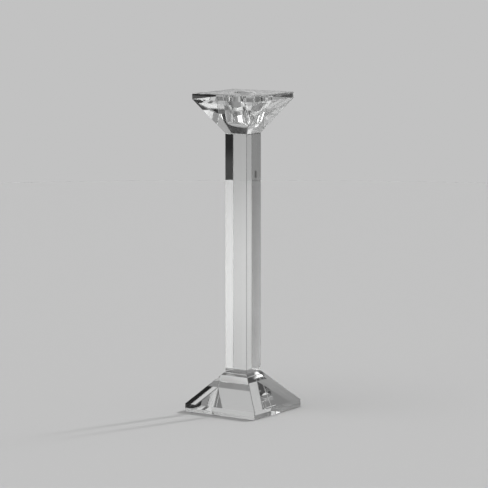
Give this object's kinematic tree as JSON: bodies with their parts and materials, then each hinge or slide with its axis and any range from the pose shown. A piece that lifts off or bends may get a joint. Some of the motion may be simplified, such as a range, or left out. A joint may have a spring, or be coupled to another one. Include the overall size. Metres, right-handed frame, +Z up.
{
  "type": "candlestick",
  "caption": "Tall clear glass candlestick: a square column bonded between a pyramid foot and a flared square head with a round candle socket.",
  "frame": {"origin": "centre of the foot's underside", "axes": "+Z up along the column; the flat sides of all three blocks face along X and Y"},
  "size_m": [0.08, 0.08, 0.3038],
  "materials": {
    "foot_glass": "polished clear glass with ground edges",
    "column_glass": "polished clear glass with ground edges",
    "head_glass": "polished clear glass with ground edges",
    "joint_adhesive": "clear cured adhesive"
  },
  "bodies": {
    "root": {"foot_block": "foot_glass", "foot_joint_film": "joint_adhesive", "column_bar": "column_glass", "head_joint_film": "joint_adhesive", "head_block": "head_glass"}
  },
  "joints": []
}
